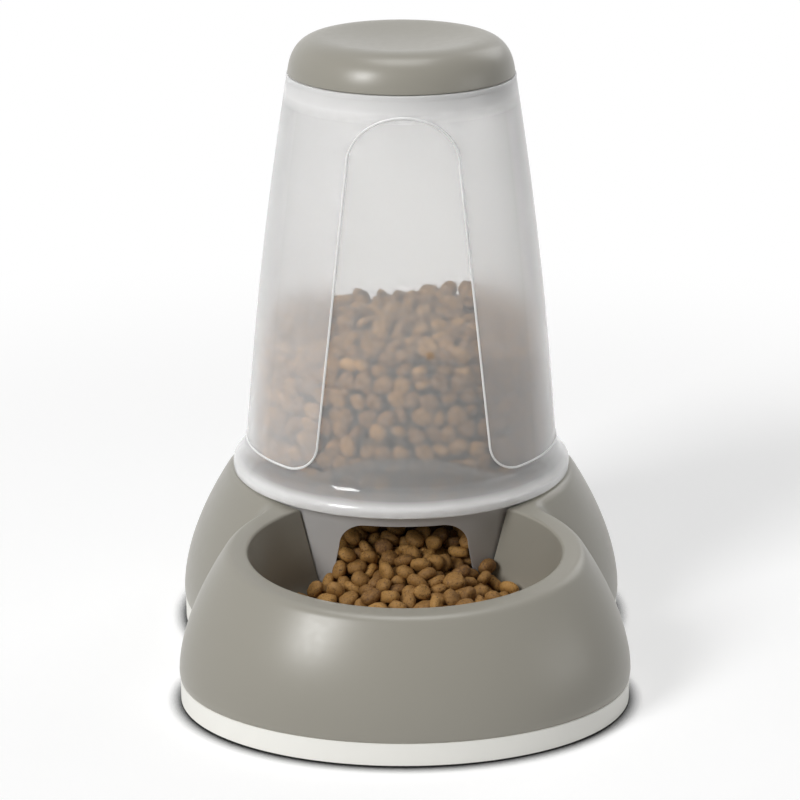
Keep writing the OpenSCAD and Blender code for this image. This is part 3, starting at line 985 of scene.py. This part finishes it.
def settle(starts):  # lets the loose pieces fall as rigid bodies, at a larger scale for the solver
    s = settling
    scene = bpy.context.scene
    grow = Matrix.Scale(s["scale"], 4)
    shift = Matrix.Translation((0, -axisY, 0))
    grain = spinProfile(s["profile"], s["spokes"], closed=False)
    across, along, thick = s["size"]
    bmesh.ops.scale(grain, verts=grain.verts, vec=(kibbleShape["radius"] * across, kibbleShape["radius"] * along,
                                                   kibbleShape["half"] * thick))
    bmesh.ops.transform(grain, matrix=grow, verts=grain.verts)
    proxy = meshData("grain", grain)

    solids = []
    for node in ("base", "feed_chute"):
        copy = bmesh.new()
        copy.from_mesh(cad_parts[node].data)
        bmesh.ops.remove_doubles(copy, verts=copy.verts, dist=s["solidWeld"])
        bmesh.ops.transform(copy, matrix=grow @ shift, verts=copy.verts)
        solids.append(solidFor("solid_" + node, copy))
    back = bmesh.new()
    bmesh.ops.create_cube(back, size=1.0)
    bmesh.ops.scale(back, verts=back.verts, vec=s["backSize"])
    bmesh.ops.translate(back, verts=back.verts, vec=(0, pileShape["backY"] + s["backSize"][1] / 2, s["backZ"]))
    bmesh.ops.transform(back, matrix=grow, verts=back.verts)
    solids.append(solidFor("solid_back", back))
    grains = []
    for place, turn in starts:
        piece = bpy.data.objects.new("grain", proxy)
        piece.rotation_mode = "QUATERNION"
        piece.location, piece.rotation_quaternion = place * s["scale"], turn
        grains.append(piece)
    bpy.ops.rigidbody.world_add()
    world = scene.rigidbody_world
    group = bpy.data.collections.new("settling")
    scene.collection.children.link(group)
    world.collection = group
    world.substeps_per_frame, world.solver_iterations = s["substeps"], s["iterations"]
    world.point_cache.frame_start, world.point_cache.frame_end = 1, s["frames"]
    for thing in solids + grains:
        group.objects.link(thing)
    for body in [thing.rigid_body for thing in solids]:
        body.type, body.collision_shape, body.mesh_source = "PASSIVE", "MESH", "BASE"
        body.friction = s["solidFriction"]
        body.use_margin, body.collision_margin = True, s["margin"]
    for body in [thing.rigid_body for thing in grains]:
        body.collision_shape = "CONVEX_HULL"
        body.friction, body.restitution = s["friction"], 0.0
        body.linear_damping, body.angular_damping = s["slowing"], s["spinSlowing"]
        body.use_margin, body.collision_margin = True, s["margin"]
        body.mass = s["mass"]
    for now in range(1, s["frames"] + 1):
        scene.frame_set(now)
    settled = []
    graph = bpy.context.evaluated_depsgraph_get()
    for thing in grains:
        place, turn, _ = thing.evaluated_get(graph).matrix_world.decompose()
        settled.append((place / s["scale"], turn))
    scene.frame_set(1)
    bpy.ops.rigidbody.world_remove()
    for thing in grains + solids:
        bpy.data.objects.remove(thing)
    bpy.data.collections.remove(group)
    return settled


def sortPile(settled):  # what lies in the chute lifts off with the hopper
    kept = pileKept
    inChute, inBowl = [], []
    for place, turn in settled:
        if place.z < baseShell["floorZ"] - kept["below"] or place.z > pileShape["backTop"] + kept["above"]:
            continue
        moved = place + Vector((0, axisY, 0))
        if place.xy.length < insideR(place.z) - kept["wallGap"]:
            inChute.append((moved, turn))
        elif place.z < hopperShape["low"] - kept["hopperGap"]:
            inBowl.append((moved, turn))
    return inChute, inBowl


foodRng = random.Random(foodShape["seed"])
pile = pileStarts()
pile = settle(pile)
pileInChute, pileInBowl = sortPile(pile)
makeKibble("kibble_in_bowl", pileInBowl, "base", foodToneAndShade["poured"])
makeKibble("kibble_in_mouth", pileInChute, "hopper", foodToneAndShade["poured"])
makeKibble("kibble_at_wall", wallFood(foodRng, [0], pileInChute), "hopper", foodToneAndShade["wall"])
# the layers behind the first take the darkened food colour and a lower tone: painted shade behind and between the
# pieces at the wall
behind = wallFood(foodRng, range(1, foodShape["wallLayers"]), pileInChute)
makeKibble("kibble_behind", behind, "hopper", foodToneAndShade["behind"], "core")
makeKibble("kibble_on_top", topFood(foodRng), "hopper", foodToneAndShade["top"])
makeCore()
for form in kibbleForms:
    bpy.data.meshes.remove(form)
print("food made:", len(pileInBowl), "in the bowl,", len(pileInChute), "in the mouth")

# Camera, light and floor
camera = {"place": (-0.02551, -1.49978 + axisY, 0.6013), "down": 17.95, "turn": -0.95, "lens": 138.13, "sensor": 36}
lamps = {
    "key": {"place": (-2.25, -2.25, 2.16), "aim": (0, 0, 0.12), "size": (1.08, 1.44), "power": 87},
    "top": {"place": (0.0, 0.1, 3.5), "aim": (0, 0, 0.12), "size": (1.8, 1.8), "power": 42},
    "back": {"place": (2.16, 2.52, 2.16), "aim": (0, 0, 0.12), "size": (1.8, 1.8), "power": 18},
    "right": {"place": (3.4, -0.9, 0.63), "aim": (0, 0, 0.08), "size": (1.8, 1.1), "power": 9},
}
studio = {"ambient": 0.08, "bounce": 0.92,
          "floorSize": 6.0, "floorColour": 0.74, "floorGlow": 0.37, "whiteFrom": 0.32, "whiteTo": 0.75,
          # contact: reach, samples, span and darkest level of the painted contact shadow on the floor
          "contact": 0.012, "contactSamples": 8, "contactSpan": (0.5, 0.85), "contactShadowLevel": 0.03}


def addCamera():
    data = bpy.data.cameras.new("camera")
    data.lens, data.sensor_width = camera["lens"], camera["sensor"]
    view = addObject("camera", data)
    view.location = camera["place"]
    view.rotation_euler = (math.radians(90 - camera["down"]), 0, math.radians(camera["turn"]))
    bpy.context.scene.camera = view


def addSoftbox(name, place, aim, size, power):
    data = bpy.data.lights.new(name, "AREA")
    data.shape, data.size, data.size_y = "RECTANGLE", *size
    data.energy = power
    lamp = addObject(name, data)
    lamp.location = place
    lamp.visible_transmission = False
    lamp.rotation_euler = (Vector(aim) - Vector(place)).to_track_quat("-Z", "Y").to_euler()


def seenDirectly(tree):  # 1 where the camera, a reflection or clear plastic looks, 0 where light bounces
    path = addNode(tree, "ShaderNodeLightPath")
    seen = mathNode(tree, "MAXIMUM", path.outputs["Is Camera Ray"], path.outputs["Is Glossy Ray"])
    return mathNode(tree, "MAXIMUM", seen, path.outputs["Is Transmission Ray"])


def addWorld():
    world = bpy.data.worlds.new("studio")
    bpy.context.scene.world = world
    world.use_nodes = True
    tree = world.node_tree
    background = tree.nodes["Background"]
    background.inputs["Color"].default_value = (1, 1, 1, 1)
    strength = rangeNode(tree, seenDirectly(tree), 0.0, 1.0, studio["ambient"], 1.0)
    tree.links.new(strength, background.inputs["Strength"])


def addFloor():  # white far away, darker near the object where it takes the lamps' shadows, and a painted contact shadow, nearly black, where the two meet
    s = studio
    mesh = bmesh.new()
    bmesh.ops.create_grid(mesh, x_segments=2, y_segments=2, size=s["floorSize"])
    floor = addObject("studio_floor", meshData("studio_floor", mesh))
    material, tree, shader = newMaterial("studio_white", (1, 1, 1), 1.0)
    away = addNode(tree, "ShaderNodeVectorMath", {0: objectPlace(tree)}, operation="LENGTH").outputs["Value"]
    fade = addNode(tree, "ShaderNodeMapRange", {"Value": away, "From Min": s["whiteFrom"], "From Max": s["whiteTo"]},
                   interpolation_type="SMOOTHSTEP").outputs["Result"]
    seen = seenDirectly(tree)
    # ambient occlusion darkens the floor's glow and colour next to the object: a painted contact shadow
    near = addNode(tree, "ShaderNodeAmbientOcclusion", {"Distance": s["contact"]}, samples=s["contactSamples"])
    contact = rangeNode(tree, near.outputs["AO"], *s["contactSpan"], s["contactShadowLevel"], 1.0)
    glow = rangeNode(tree, fade, 0.0, 1.0, s["floorGlow"], 1.0)
    glow = mathNode(tree, "MULTIPLY", glow, contact)
    tree.links.new(mathNode(tree, "MULTIPLY", glow, seen), shader.inputs["Emission Strength"])
    shader.inputs["Emission Color"].default_value = (1, 1, 1, 1)
    shader.inputs["Specular IOR Level"].default_value = 0.0
    grey = rangeNode(tree, fade, 0.0, 1.0, s["floorColour"], 0.0)
    grey = mathNode(tree, "MULTIPLY", grey, contact)
    bounce = mathNode(tree, "MULTIPLY", mathNode(tree, "SUBTRACT", 1.0, seen), s["bounce"])
    value = mathNode(tree, "MAXIMUM", mathNode(tree, "MULTIPLY", grey, seen), bounce)
    tree.links.new(addNode(tree, "ShaderNodeCombineColor", {0: value, 1: value, 2: value}).outputs[0],
                   shader.inputs["Base Color"])
    floor.data.materials.append(material)


addCamera()
addWorld()
addFloor()
for name, lamp in lamps.items():
    addSoftbox(name, **lamp)
bpy.context.scene.view_settings.view_transform = "Standard"
print("camera and light made")
